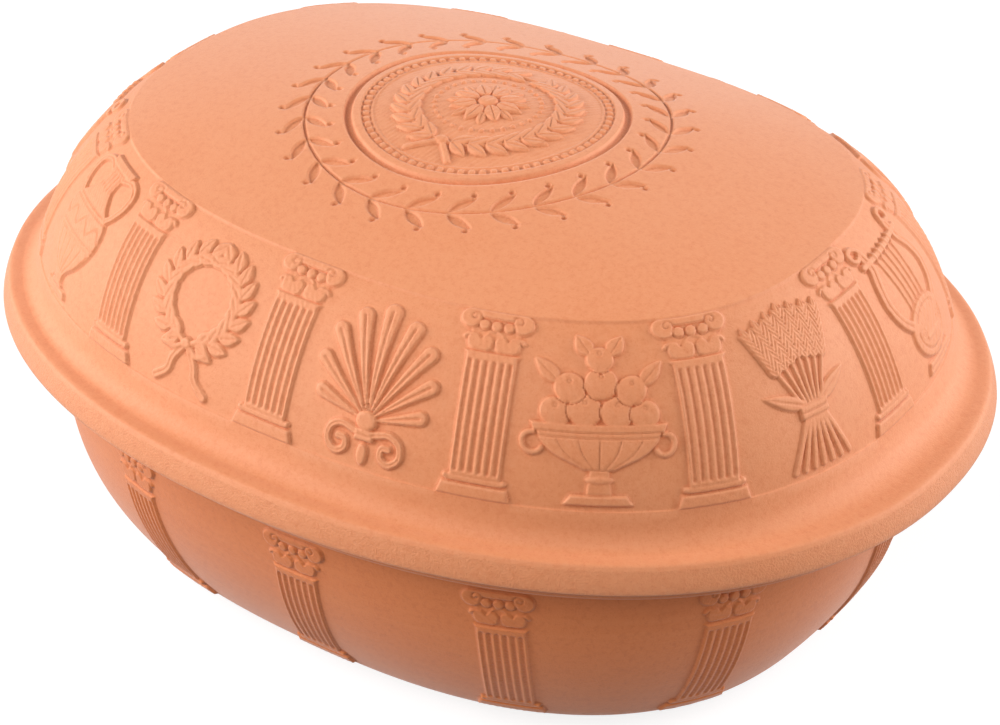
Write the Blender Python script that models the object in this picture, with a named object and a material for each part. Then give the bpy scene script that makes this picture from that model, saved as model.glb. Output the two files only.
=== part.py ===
"""Oval clay roaster in two loose pieces: a deep dish, and a domed lid with a wide flange that rests on it.

Frame: metres, +X along the long axis, +Y across it, +Z up, origin on the table under the middle of the dish.
Both walls carry upright fluted columns in low relief. The lid also has an ornament in every bay between two
columns, and a round medallion on its crown.
"""

import math

import bmesh
import bpy
from mathutils import Matrix, Vector

MM = 0.001

# Driving dimensions
LENGTH = 345.0 * MM
WIDTH = 270.0 * MM
HEIGHT = 160.0 * MM
SEAT_HEIGHT = 80.0 * MM
SEAT_GAP = 0.3 * MM
LID_WALL = 9.0 * MM
DISH_WALL = 8.5 * MM
FLOOR_TOP = 10.0 * MM

# Lid flange, as (inset from the greatest outline, height over the seat) in millimetres
SEAT_EDGE = 0.9 * MM
FLANGE_PROFILE = ((0.0, 0.7), (0.5, 2.0), (2.8, 4.6), (5.0, 6.9), (6.3, 8.9), (8.0, 9.8), (10.8, 9.4))
# Flare up to the line under the relief, as (part of the way in, height over the seat)
FLARE = ((0.35, 11.0), (0.7, 15.0))
FLANGE_X = 18.5 * MM
FLANGE_Y = 14.0 * MM
LINE_LIFT = 20.0 * MM

# Lid wall and crown
SHOULDER_LIFT = 64.0 * MM
SHOULDER_X = 51.0 * MM
SHOULDER_Y = 47.7 * MM
SHOULDER_SWAY = 1.5 * MM
WALL_BULGE = 3.1 * MM
WALL_LIFT = 3.9 * MM
TOP_POWER = 1.45
RIDGE_GAP = 2.0 * MM
RIDGE_WIDE = 4.0 * MM
RIDGE_DEEP = 3.5 * MM

# Dish
LIP_INSET = 5.5 * MM
LIP_DROP = 6.0 * MM
LIP_WIDE = 4.0 * MM
EDGE_ROUND = 1.2 * MM
DISH_TOP_X = 21.5 * MM
DISH_TOP_Y = 14.0 * MM
DISH_TOP_Z = SEAT_HEIGHT - 7.0 * MM
DISH_TAPER = 16.6 * MM
DISH_CURVE = 2.6
DISH_FOOT_Z = 11.0 * MM
FOOT_ROUND = 20.0 * MM
FOOT_WIDE = 11.5 * MM
FOOT_RECESS = 1.2 * MM
# Rounded corner of the floor inside, as (inset from the wall, height over the floor) in millimetres
FLOOR_CORNER = ((0.0, 8.0), (4.0, 2.5), (12.0, 0.0))
MOUTH_X = DISH_TOP_X + DISH_WALL
MOUTH_Y = DISH_TOP_Y + DISH_WALL
RIBS = 5
RIB_WIDE = 6.4 * MM
RIB_HIGH = 2.2 * MM
RIB_MARGIN = 16.0 * MM

# Powers of the ovals: 2 is an ellipse, more is squarer
RIM_POWER = 2.17
LINE_POWER = 2.34
SHOULDER_POWER = 2.5
DISH_TOP_POWER = 2.12
DISH_FOOT_POWER = 2.44

# Columns: their bearings in degrees, as (at the plinth, at the capital)
LID_BEARINGS = (
    (-2.8, -3.0), (32.0, 31.0), (64.5, 61.6), (90.0, 90.0), (115.5, 118.4), (144.4, 145.0),
    (180.0, 180.0), (216.5, 217.0), (246.0, 241.5), (271.0, 270.0), (297.0, 298.3), (324.4, 325.1),
)
DISH_BEARINGS = (
    (3.0, 3.0), (38.0, 37.0), (70.7, 68.0), (95.1, 94.9), (122.2, 120.5), (147.4, 149.9),
    (183.0, 183.0), (218.0, 217.0), (250.7, 248.0), (275.1, 274.9), (302.2, 300.5), (327.4, 329.9),
)
LID_COLUMN_TALL = 56.0 * MM
DISH_COLUMN_TALL = 58.6 * MM
DISH_COLUMN_TOP = 0.89
COLUMN_HALF = 11.3 * MM
SHAFT_HALF = 7.9 * MM
FLUTES = 6
FLUTE_DEEP = 0.8 * MM
# Heights where the parts of a column meet, as parts of its own
PLINTH, STEP, NECK, SLAB = 0.06, 0.11, 0.757, 0.882
BENDS = (0.3, 0.62)
ROOT = 2.2 * MM

# Medallion
MEDALLION_R = 46.0 * MM
GROOVE_WIDE = 2.5 * MM
GROOVE_DEEP = 1.4 * MM
RING_WIDE = 3.0 * MM
FIELD_DEEP = 0.9 * MM
LEAVES = 10
PETALS = 8

SEGMENTS = 40
HALF_X = LENGTH / 2
HALF_Y = WIDTH / 2
CROWN_X = HALF_X - SHOULDER_X
CROWN_Y = HALF_Y - SHOULDER_Y


def collection(name):
    made = bpy.data.collections.new(name)
    bpy.context.scene.collection.children.link(made)
    return made


def clay(name, colour, roughness):
    made = bpy.data.materials.new(name)
    made.use_nodes = True
    shader = made.node_tree.nodes["Principled BSDF"]
    shader.inputs["Base Color"].default_value = (*colour, 1.0)
    shader.inputs["Roughness"].default_value = roughness
    return made


def blend(low, high, t):
    return low + (high - low) * t


def bearings():
    return [math.tau * i / SEGMENTS for i in range(SEGMENTS)]


def oval(half_x, half_y, power, bearing):
    """Point of a superellipse at a bearing in radians."""
    c = math.cos(bearing)
    s = math.sin(bearing)
    reach = (abs(c) ** power + abs(s) ** power) ** (-1.0 / power)
    return half_x * c * reach, half_y * s * reach


def ring(inset_x, inset_y, z, power):
    """A closed level curve of the body, by its insets from the greatest outline."""
    curve = []
    for bearing in bearings():
        x, y = oval(HALF_X - inset_x, HALF_Y - inset_y, power, bearing)
        curve.append(Vector((x, y, z)))
    return curve


def even_ring(inset, z):
    return ring(inset, inset, z, RIM_POWER)


def lid_wall(bearing, rise):
    """The lid's sloping wall: rise is 0 at the line over the flange and 1 at the shoulder."""
    swell = 4.0 * rise * (1.0 - rise)
    half_x = HALF_X - blend(FLANGE_X, SHOULDER_X, rise) + WALL_BULGE * swell
    half_y = HALF_Y - blend(FLANGE_Y, SHOULDER_Y, rise) + WALL_BULGE * swell
    x, y = oval(half_x, half_y, blend(LINE_POWER, SHOULDER_POWER, rise), bearing)
    lift = blend(LINE_LIFT, SHOULDER_LIFT, rise) + WALL_LIFT * swell
    return Vector((x, y, SEAT_HEIGHT + lift + SHOULDER_SWAY * rise * math.cos(2.0 * bearing)))


def dish_wall(bearing, rise):
    """The dish's wall: rise is 0 over the foot and 1 under the lip."""
    tuck = DISH_TAPER * (1.0 - rise) ** DISH_CURVE
    power = blend(DISH_FOOT_POWER, DISH_TOP_POWER, rise)
    x, y = oval(HALF_X - DISH_TOP_X - tuck, HALF_Y - DISH_TOP_Y - tuck, power, bearing)
    return Vector((x, y, blend(DISH_FOOT_Z, DISH_TOP_Z, rise)))


def wall_ring(wall, rise, thin=0.0, drop=0.0):
    """A level curve of a wall, moved inwards and down."""
    curve = []
    for bearing in bearings():
        point = wall(bearing, rise)
        inwards = Vector((point.x, point.y, 0.0)).normalized()
        curve.append(point - inwards * thin - Vector((0.0, 0.0, drop)))
    return curve


def top_height(x, y):
    """Height of the lid's crown over a point of the plan."""
    reach = abs(x / CROWN_X) ** SHOULDER_POWER + abs(y / CROWN_Y) ** SHOULDER_POWER
    reach = reach ** (1.0 / SHOULDER_POWER)
    sway = SHOULDER_SWAY * math.cos(2.0 * math.atan2(y / CROWN_Y, x / CROWN_X))
    return blend(HEIGHT, SEAT_HEIGHT + SHOULDER_LIFT + sway, reach ** TOP_POWER)


def crown_ring(part, drop=0.0, thin=0.0):
    """A curve of the crown at a part of the way from its middle to the shoulder, moved inwards and down."""
    curve = []
    for bearing in bearings():
        x, y = oval(CROWN_X * part, CROWN_Y * part, SHOULDER_POWER, bearing)
        z = top_height(x, y) - drop
        x, y = oval(CROWN_X * part - thin, CROWN_Y * part - thin, SHOULDER_POWER, bearing)
        curve.append(Vector((x, y, z)))
    return curve


def finish(name, bm, home):
    """The mesh as a named object, with its faces turned outwards."""
    bmesh.ops.recalc_face_normals(bm, faces=bm.faces)
    mesh = bpy.data.meshes.new(name)
    bm.to_mesh(mesh)
    bm.free()
    made = bpy.data.objects.new(name, mesh)
    home.objects.link(made)
    return made


def skin_rows(bm, curves, closed):
    """Rows of points with faces between each row and the next, and from the last to the first if closed."""
    rows = [[bm.verts.new(p) for p in curve] for curve in curves]
    count = len(rows[0])
    for low, high in zip(rows, rows[1:] + rows[:1] if closed else rows[1:]):
        for i in range(count):
            j = (i + 1) % count
            bm.faces.new((low[i], low[j], high[j], high[i]))
    return rows


def loft(name, curves, start, end, home):
    """One closed skin through the curves, with a point at each end."""
    bm = bmesh.new()
    rows = skin_rows(bm, curves, False)
    for tip, row in ((start, rows[0]), (end, rows[-1])):
        point = bm.verts.new(tip)
        for a, b in zip(row, row[1:] + row[:1]):
            bm.faces.new((point, a, b))
    return finish(name, bm, home)


def tube(name, curves, home):
    """A closed ring-shaped skin whose section runs through the curves and back to the first."""
    bm = bmesh.new()
    skin_rows(bm, curves, True)
    return finish(name, bm, home)


def prism(name, first, last, home):
    """A closed skin from one flat outline to another with as many points."""
    bm = bmesh.new()
    for row in skin_rows(bm, (first, last), False):
        bm.faces.new(row)
    return finish(name, bm, home)


def helper(made):
    made.hide_render = True
    made.display_type = "WIRE"
    return made


def boolean(target, tool, operation):
    step = target.modifiers.new(tool.name, "BOOLEAN")
    step.operation = operation
    step.solver = "EXACT"
    step.object = tool


# Outlines of flat relief: x across, y up
def profile(*right):
    """A symmetrical outline, from its right half as (half width, height) upwards in millimetres."""
    side = [(x * MM, y * MM) for x, y in right]
    return side + [(-x, y) for x, y in reversed(side)]


def hoop(middle, inner, outer, start, end, steps):
    """Part of a flat ring round a point over the base, between two angles in degrees."""
    turns = [math.radians(blend(start, end, i / steps)) for i in range(steps + 1)]
    edge = [(outer * math.cos(a), middle + outer * math.sin(a)) for a in turns]
    return edge + [(inner * math.cos(a), middle + inner * math.sin(a)) for a in reversed(turns)]


def carve(pieces, tall, home, shaft=None):
    """One flat relief out of outlines with heights, with edges to bend along. Each root is a little
    deeper than the last one, so that no two backs lie in one plane."""
    solids = [shaft] if shaft else []
    for i, (outline, high) in enumerate(pieces):
        back = [Vector((x, y, -ROOT - 0.06 * MM * i)) for x, y in outline]
        front = [Vector((x, y, high)) for x, y in outline]
        solids.append(prism("piece", back, front, home))
    whole = solids[0]
    for tool in solids[1:]:
        boolean(whole, tool, "UNION")
    graph = bpy.context.evaluated_depsgraph_get()
    bm = bmesh.new()
    bm.from_object(whole, graph)
    for solid in solids:
        bpy.data.objects.remove(solid)
    for part in BENDS:
        cut = bm.verts[:] + bm.edges[:] + bm.faces[:]
        bmesh.ops.bisect_plane(bm, geom=cut, plane_co=(0.0, tall * part, 0.0), plane_no=(0.0, 1.0, 0.0))
    # Wide faces bend along the middle too
    wide = [f for f in bm.faces if max(v.co.x for v in f.verts) - min(v.co.x for v in f.verts) > COLUMN_HALF]
    cut = list({v for f in wide for v in f.verts}) + list({e for f in wide for e in f.edges}) + wide
    bmesh.ops.bisect_plane(bm, geom=cut, plane_co=(0.0, 0.0, 0.0), plane_no=(1.0, 0.0, 0.0))
    bmesh.ops.remove_doubles(bm, verts=bm.verts, dist=0.02 * MM)
    bmesh.ops.triangulate(bm, faces=bm.faces)
    return bm


def fluted_shaft(low, high, home):
    """A flat shaft whose front is a row of hollow flutes with sharp ridges between them."""
    section = [(-SHAFT_HALF, -ROOT * 0.9)]
    for i in range(2 * FLUTES + 1):
        x = SHAFT_HALF * (i / FLUTES - 1.0)
        section.append((x, 1.3 * MM - (FLUTE_DEEP if i % 2 else 0.0)))
    section.append((SHAFT_HALF, -ROOT * 0.9))
    ends = [[Vector((x, y, z)) for x, z in section] for y in (low, high)]
    return prism("shaft", *ends, home)


def flat_column(tall, home):
    """Plinth and step, fluted shaft, leaf collar, and a slab with round ends."""
    half = COLUMN_HALF / MM
    narrow = half * 0.86
    plinth, step, neck, slab, top = (tall / MM * part for part in (PLINTH, STEP, NECK, SLAB, 1.0))
    pieces = [
        (profile((half, 0.3), (half * 0.90, plinth)), 1.7 * MM),
        (profile((half * 0.80, plinth - 0.2), (half * 0.76, step)), 1.5 * MM),
        (profile((half * 0.80, neck), (narrow, slab + 0.8)), 1.4 * MM),
        (profile((narrow, slab), (half, slab + 2.2), (half, top - 2.4), (narrow, top - 0.4)), 1.8 * MM),
    ]
    return carve(pieces, tall, home, fluted_shaft(step * MM - 0.4 * MM, neck * MM + 0.3 * MM, home))


# Ornaments of the bays, each a list of outlines with heights
def lyre():
    frame = profile(
        (12.0, 1.6), (13.5, 11.0), (10.5, 19.0), (17.0, 30.0),
        (13.0, 42.0), (15.5, 48.0), (9.5, 46.0), (7.6, 22.0),
    )
    strings = profile((8.0, 19.0), (8.6, 43.0))
    return [(frame, 1.3 * MM), (strings, 0.8 * MM)]


def amphora():
    vase = profile((7.5, 1.6), (4.0, 6.5), (13.0, 15.5), (14.5, 25.0), (13.0, 36.0), (8.5, 47.0), (8.5, 49.5))
    return [(vase, 1.3 * MM)]


def wreath():
    half = hoop(30.0 * MM, 11.8 * MM, 18.2 * MM, -95.0, 95.0, 5)
    return [
        (half, 1.2 * MM),
        ([(-x, y) for x, y in half], 1.25 * MM),
        (profile((9.0, 2.6), (2.4, 13.0)), 1.0 * MM),
    ]


def palmette():
    base = profile((7.0, 1.6), (13.0, 4.5), (13.5, 10.5), (7.5, 14.0))
    fan = profile((5.0, 12.0), (15.5, 18.0), (18.0, 28.0), (15.5, 38.0), (9.0, 46.0), (3.0, 50.0))
    return [(base, 1.3 * MM), (fan, 1.2 * MM)]


def fruit_bowl():
    bowl = profile((11.0, 1.6), (3.6, 6.0), (3.6, 11.0), (13.0, 13.5), (19.0, 22.0), (19.0, 24.8))
    fruit = profile((15.0, 24.0), (14.5, 32.0), (7.0, 42.5))
    return [(bowl, 1.4 * MM), (fruit, 1.2 * MM)]


def wheat():
    ears = profile((4.4, 18.0), (13.5, 41.0), (11.0, 46.0), (4.0, 49.5))
    stalks = profile((10.0, 2.0), (3.6, 17.0))
    tie = profile((5.4, 15.6), (5.4, 19.6))
    return [(ears, 1.2 * MM), (stalks, 1.0 * MM), (tie, 1.5 * MM)]


ORNAMENTS = (lyre, amphora, wreath, palmette, fruit_bowl, wheat)


def lay(bm, flat, wall, tall, top, bearing):
    """Lays a flat relief on a wall: as wide everywhere as when flat, on a line between two bearings."""
    foot, head = (math.radians(b) for b in bearing)
    tiny = 1e-4
    made = {}
    for v in flat.verts:
        up = v.co.y / tall
        rise = top * up
        middle = blend(foot, head, up)
        across = (wall(middle + tiny, rise) - wall(middle - tiny, rise)) / (2.0 * tiny)
        at = middle + v.co.x / across.length
        across = wall(at + tiny, rise) - wall(at - tiny, rise)
        upwards = wall(at, rise + tiny) - wall(at, rise - tiny)
        out = across.cross(upwards).normalized()
        made[v.index] = bm.verts.new(wall(at, rise) + out * v.co.z)
    for face in flat.faces:
        bm.faces.new([made[v.index] for v in face.verts])


def lid_relief(home):
    """Twelve columns, and an ornament in the middle of every bay between two of them."""
    bm = bmesh.new()
    column = flat_column(LID_COLUMN_TALL, home)
    for bearing in LID_BEARINGS:
        lay(bm, column, lid_wall, LID_COLUMN_TALL, 1.0, bearing)
    column.free()
    flats = [carve(ornament(), LID_COLUMN_TALL, home) for ornament in ORNAMENTS]
    first = LID_BEARINGS[0]
    ends = LID_BEARINGS[1:] + ((first[0] + 360.0, first[1] + 360.0),)
    for i, (here, there) in enumerate(zip(LID_BEARINGS, ends)):
        bay = [blend(a, b, 0.5) for a, b in zip(here, there)]
        lay(bm, flats[i % len(flats)], lid_wall, LID_COLUMN_TALL, 1.0, bay)
    for flat in flats:
        flat.free()
    return helper(finish("lid_relief", bm, home))


def dish_relief(home):
    bm = bmesh.new()
    column = flat_column(DISH_COLUMN_TALL, home)
    for bearing in DISH_BEARINGS:
        lay(bm, column, dish_wall, DISH_COLUMN_TALL, DISH_COLUMN_TOP, bearing)
    column.free()
    return helper(finish("dish_relief", bm, home))


def crown_circle(radius, lift):
    """A round curve over the crown, at a height above or below it."""
    curve = []
    for bearing in bearings():
        x = radius * math.cos(bearing)
        y = radius * math.sin(bearing)
        curve.append(Vector((x, y, top_height(x, y) + lift)))
    return curve


def medallion_tools(home):
    """Cutters of the medallion: an annular groove, and a sunk field inside a plain ring."""
    over = 3.0 * MM
    groove_in = MEDALLION_R - GROOVE_WIDE
    field_r = groove_in - RING_WIDE
    section = (
        (groove_in - 0.3 * MM, over),
        (MEDALLION_R + 0.3 * MM, over),
        (MEDALLION_R - 0.4 * MM, -GROOVE_DEEP),
        (groove_in + 0.5 * MM, -GROOVE_DEEP),
    )
    groove = tube("medallion_groove", [crown_circle(r, lift) for r, lift in section], home)
    section = (
        (field_r * 0.25, -FIELD_DEEP),
        (field_r * 0.6, -FIELD_DEEP),
        (field_r, -FIELD_DEEP),
        (field_r + 0.3 * MM, over),
    )
    bottom = Vector((0.0, 0.0, HEIGHT - FIELD_DEEP))
    top = Vector((0.0, 0.0, HEIGHT + over))
    field = loft("medallion_field", [crown_circle(r, lift) for r, lift in section], bottom, top, home)
    return groove, field


def bud(bm, sides, low_r, high_r):
    """Points of a new upright cone of one metre, to be shaped."""
    made = bmesh.ops.create_cone(bm, cap_ends=True, segments=sides, radius1=low_r, radius2=high_r, depth=1.0)
    return made["verts"]


def medallion_relief(field_r, home):
    """Wreath of leaves and a rosette, rooted in the sunk field."""
    bm = bmesh.new()
    root = 0.8 * MM

    def stand(made, high):
        for v in made:
            base = top_height(v.co.x, v.co.y) - FIELD_DEEP
            v.co.z = base + (high if v.co.z > 0 else -root)

    def spear(out, angle, lean, long, wide, high):
        """A four-sided leaf at a distance from the middle, turned by its lean."""
        made = bud(bm, 4, 1.0, 0.8)
        turn = Matrix.Rotation(lean, 2)
        middle = Vector((math.cos(angle), math.sin(angle))) * out
        for v in made:
            place = middle + turn @ Vector((v.co.x * long, v.co.y * wide))
            v.co = Vector((*place, v.co.z))
        stand(made, high)

    for i in range(LEAVES):
        angle = math.tau * (i + 0.5) / LEAVES
        lean = angle + math.pi / 2 - (0.5 if i % 2 else -0.5)
        spear(field_r * 0.66, angle, lean, 4.6 * MM, 2.1 * MM, 0.9 * MM)
    for i in range(PETALS):
        angle = math.tau * i / PETALS
        spear(8.2 * MM, angle, angle, 4.4 * MM, 2.4 * MM, 1.0 * MM)
    stand(bud(bm, 12, 3.0 * MM, 2.2 * MM), 1.3 * MM)
    return helper(finish("medallion_relief", bm, home))


def build_lid(home, tools):
    ridge_x = MOUTH_X + RIDGE_GAP
    ridge_y = MOUTH_Y + RIDGE_GAP

    def ridge(inwards, lift):
        return ring(ridge_x + inwards, ridge_y + inwards, SEAT_HEIGHT + lift, RIM_POWER)

    # Underside: hollow, locating ridge and flat seat
    curves = [
        crown_ring(0.65, LID_WALL, 2.6 * MM),
        crown_ring(0.97, LID_WALL + 1.5 * MM, 7.0 * MM),
    ]
    for rise in (0.8, 0.45):
        curves.append(wall_ring(lid_wall, rise, LID_WALL * blend(0.90, 0.80, rise), LID_WALL * 0.55))
    inner = RIDGE_GAP + RIDGE_WIDE - 1.0 * MM
    curves.append(ring(MOUTH_X + inner, MOUTH_Y + inner, SEAT_HEIGHT + LINE_LIFT - 5.0 * MM, LINE_POWER))
    chamfer = 0.9 * MM
    curves += [
        ridge(RIDGE_WIDE, 2.0 * MM),
        ridge(RIDGE_WIDE, chamfer - RIDGE_DEEP),
        ridge(RIDGE_WIDE - chamfer, -RIDGE_DEEP),
        ridge(chamfer, -RIDGE_DEEP),
        ridge(0.0, chamfer - RIDGE_DEEP),
        ridge(0.0, 0.0),
        even_ring(SEAT_EDGE, SEAT_HEIGHT),
    ]
    # Flange: leaning band, roll and valley, then the flare up to the line
    for inset, lift in FLANGE_PROFILE:
        curves.append(even_ring(inset * MM, SEAT_HEIGHT + lift * MM))
    valley = FLANGE_PROFILE[-1][0] * MM
    for part, lift in FLARE:
        inset_x = blend(valley, FLANGE_X, part)
        inset_y = blend(valley, FLANGE_Y, part)
        curves.append(ring(inset_x, inset_y, SEAT_HEIGHT + lift * MM, blend(RIM_POWER, LINE_POWER, part)))
    for rise in (0.0, 0.33, 0.67, 0.93):
        curves.append(wall_ring(lid_wall, rise))
    for part in (0.98, 0.82, 0.58, 0.34, 0.14):
        curves.append(crown_ring(part))
    lid = loft("lid", curves, Vector((0.0, 0.0, HEIGHT - LID_WALL)), Vector((0.0, 0.0, HEIGHT)), home)
    for tool in medallion_tools(tools):
        boolean(lid, helper(tool), "DIFFERENCE")
    boolean(lid, lid_relief(tools), "UNION")
    boolean(lid, medallion_relief(MEDALLION_R - GROOVE_WIDE - RING_WIDE, tools), "UNION")
    return lid


def build_dish(home, tools):
    # Underside: sunk middle, flat foot ring, and a corner that runs smoothly into the wall
    foot = DISH_TAPER + FOOT_ROUND
    rows = (
        (foot + FOOT_WIDE + 1.5 * MM, FOOT_RECESS),
        (foot + FOOT_WIDE, 0.0),
        (foot, 0.0),
    )
    curves = [ring(DISH_TOP_X + inwards, DISH_TOP_Y + inwards, z, DISH_FOOT_POWER) for inwards, z in rows]
    lean = DISH_TAPER * DISH_CURVE * DISH_FOOT_Z / (DISH_TOP_Z - DISH_FOOT_Z)
    for t in (0.35, 0.7):
        inwards = DISH_TAPER + FOOT_ROUND * (1.0 - t) ** 2 + 2.0 * lean * t * (1.0 - t)
        z = DISH_FOOT_Z * t * t
        curves.append(ring(DISH_TOP_X + inwards, DISH_TOP_Y + inwards, z, DISH_FOOT_POWER))
    for rise in (0.0, 0.25, 0.55, 1.0):
        curves.append(wall_ring(dish_wall, rise))
    # Lip, flat rim and mouth
    top = SEAT_HEIGHT - SEAT_GAP
    under = SEAT_HEIGHT - LIP_DROP
    curves += [
        even_ring(LIP_INSET + LIP_WIDE, under - 0.4 * MM),
        even_ring(LIP_INSET + EDGE_ROUND, under),
        even_ring(LIP_INSET, under + EDGE_ROUND),
        even_ring(LIP_INSET, top - EDGE_ROUND),
        even_ring(LIP_INSET + EDGE_ROUND, top),
        ring(MOUTH_X - EDGE_ROUND, MOUTH_Y - EDGE_ROUND, top, RIM_POWER),
        ring(MOUTH_X, MOUTH_Y, top - EDGE_ROUND, RIM_POWER),
        ring(MOUTH_X, MOUTH_Y, DISH_TOP_Z, DISH_TOP_POWER),
    ]
    for rise in (0.6, 0.25):
        curves.append(wall_ring(dish_wall, rise, DISH_WALL))
    inner = DISH_TAPER * (1.0 - (FLOOR_TOP - DISH_FOOT_Z) / (DISH_TOP_Z - DISH_FOOT_Z)) ** DISH_CURVE
    for inwards, lift in FLOOR_CORNER:
        inset_x = MOUTH_X + inner + inwards * MM
        inset_y = MOUTH_Y + inner + inwards * MM
        curves.append(ring(inset_x, inset_y, FLOOR_TOP + lift * MM, DISH_FOOT_POWER))
    bottom = Vector((0.0, 0.0, FOOT_RECESS))
    dish = loft("dish", curves, bottom, Vector((0.0, 0.0, FLOOR_TOP)), home)
    boolean(dish, dish_relief(tools), "UNION")
    margin = DISH_TAPER + RIB_MARGIN
    boolean(dish, floor_ribs(HALF_X - MOUTH_X - margin, HALF_Y - MOUTH_Y - margin, tools), "UNION")
    return dish


def floor_ribs(span_x, span_y, home):
    """Low rounded ribs across the floor, each as long as the oval allows."""
    bm = bmesh.new()
    sunk = 0.6 * MM
    for i in range(RIBS):
        x = span_x * 0.9 * (2.0 * i / (RIBS - 1) - 1.0)
        reach = (1.0 - abs(x / span_x) ** DISH_FOOT_POWER) ** (1.0 / DISH_FOOT_POWER)
        made = bud(bm, 6, 1.0, 1.0)
        for v in made:
            end = span_y * reach - (1.5 * MM if v.co.y > 0.5 else 0.0)
            z = FLOOR_TOP - sunk + v.co.y * (RIB_HIGH + sunk)
            v.co = Vector((x + v.co.x * RIB_WIDE / 2, math.copysign(end, v.co.z), z))
    return helper(finish("floor_ribs", bm, home))


def main():
    for old in list(bpy.data.objects):
        bpy.data.objects.remove(old)
    home = collection("clay_roaster")
    tools = collection("cutters")
    lid = build_lid(home, tools)
    dish = build_dish(home, tools)
    lid.data.materials.append(clay("lid_clay", (0.78, 0.36, 0.20), 0.85))
    dish.data.materials.append(clay("dish_clay", (0.66, 0.28, 0.15), 0.88))


main()
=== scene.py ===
import math

import bpy
import numpy as np
from mathutils import Matrix, Vector


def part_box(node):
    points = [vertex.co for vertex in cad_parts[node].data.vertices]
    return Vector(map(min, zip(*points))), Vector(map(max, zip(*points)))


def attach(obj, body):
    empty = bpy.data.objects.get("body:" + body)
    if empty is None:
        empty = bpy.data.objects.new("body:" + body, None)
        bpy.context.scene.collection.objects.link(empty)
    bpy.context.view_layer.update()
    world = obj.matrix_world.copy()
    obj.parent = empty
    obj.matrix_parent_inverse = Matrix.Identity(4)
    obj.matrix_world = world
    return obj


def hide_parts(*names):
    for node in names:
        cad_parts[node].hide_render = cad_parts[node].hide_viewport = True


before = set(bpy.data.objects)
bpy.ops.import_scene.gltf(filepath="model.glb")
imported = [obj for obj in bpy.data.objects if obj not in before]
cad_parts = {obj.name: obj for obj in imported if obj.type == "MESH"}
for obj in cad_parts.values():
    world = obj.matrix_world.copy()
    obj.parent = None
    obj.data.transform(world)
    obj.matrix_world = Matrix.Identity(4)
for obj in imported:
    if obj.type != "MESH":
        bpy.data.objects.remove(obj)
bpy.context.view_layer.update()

MM = 0.001
lid_low, lid_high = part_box("lid")
dish_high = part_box("dish")[1]

# Overall sizes, from the frame
HALF_X = (lid_high[0] - lid_low[0]) / 2
HALF_Y = (lid_high[1] - lid_low[1]) / 2
HEIGHT = 160.0 * MM
SEAT_GAP = 0.3 * MM
SEAT = dish_high[2] + SEAT_GAP

# Flange, as (inset from the greatest outline, height over the seat) in millimetres
BAND = ((0.9, 0.0), (0.4, 0.08), (0.1, 0.3), (0.0, 0.8), (0.1, 2.0), (0.8, 4.6), (1.9, 7.4), (2.3, 8.3))
BAND_EDGE = 1.2 * MM
ROLL = ((2.7, 8.8), (3.8, 9.25), (5.6, 9.5))
# Flare up to the line under the relief, as (part of the way in, height over the seat)
FLARE = ((0.2, 9.7), (0.4, 10.4), (0.6, 11.8), (0.78, 14.0), (0.92, 17.1))
FLANGE_X = 18.5 * MM
FLANGE_Y = 14.0 * MM
LINE_LIFT = 20.0 * MM

# Lid wall and crown
LID_WALL = 9.0 * MM
SHOULDER_LIFT = 64.0 * MM
SHOULDER_X = 51.0 * MM
SHOULDER_Y = 47.7 * MM
SHOULDER_SWAY = 1.5 * MM
WALL_BULGE = 3.1 * MM
WALL_LIFT = 3.9 * MM
TOP_POWER = 1.45
CROWN_X = HALF_X - SHOULDER_X
CROWN_Y = HALF_Y - SHOULDER_Y
RIDGE_GAP = 2.0 * MM
RIDGE_WIDE = 4.0
RIDGE_DEEP = 3.5

# Dish
DISH_WALL = 8.5 * MM
FLOOR_TOP = 10.0 * MM
LIP_INSET = 5.5 * MM
LIP_DROP = 6.0 * MM
LIP_WIDE = 4.0 * MM
RIM_EDGE = 1.3 * MM
DISH_TOP_X = 21.5 * MM
DISH_TOP_Y = 14.0 * MM
DISH_TOP_Z = SEAT - 7.0 * MM
DISH_TAPER = 16.6 * MM
DISH_CURVE = 2.6
DISH_FOOT_Z = 11.0 * MM
FOOT_ROUND = 20.0 * MM
FOOT_WIDE = 11.5 * MM
FOOT_RECESS = 1.2 * MM
MOUTH_X = DISH_TOP_X + DISH_WALL
MOUTH_Y = DISH_TOP_Y + DISH_WALL
FLOOR_ROUND = 12.0
RIBS = 5
RIB_WIDE = 6.4
RIB_HIGH = 2.2
RIB_MARGIN = 16.0 * MM

# Powers of the ovals: 2 is an ellipse, more is squarer
RIM_POWER = 2.17
LINE_POWER = 2.34
SHOULDER_POWER = 2.5
DISH_TOP_POWER = 2.12
DISH_FOOT_POWER = 2.44

# Columns: their bearings in degrees, as (at the plinth, at the capital)
LID_BEARINGS = (
    (-2.8, -3.0), (32.0, 31.0), (64.5, 61.6), (90.0, 90.0), (115.5, 118.4), (144.4, 145.0),
    (180.0, 180.0), (216.5, 217.0), (246.0, 241.5), (271.0, 270.0), (297.0, 298.3), (324.4, 325.1),
)
DISH_BEARINGS = (
    (3.0, 3.0), (38.0, 37.0), (70.7, 68.0), (95.1, 94.9), (122.2, 120.5), (147.4, 149.9),
    (183.0, 183.0), (218.0, 217.0), (250.7, 248.0), (275.1, 274.9), (302.2, 300.5), (327.4, 329.9),
)
LID_COLUMN_TALL = 56.0
DISH_COLUMN_TALL = 58.6
DISH_COLUMN_TOP = 0.89
COLUMN_HALF = 11.3
SHAFT_HALF = 7.9
FLUTES = 6
# Heights where the parts of a column meet, as parts of its own
PLINTH, STEP, NECK = 0.06, 0.11, 0.757

# Reliefs: half the room of an ornament, the sunk field of the lid's wall, and a factor for all wall relief
ORNAMENT_HALF = 24.0
FIELD_SUNK = 0.45
RELIEF = 0.8

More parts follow.
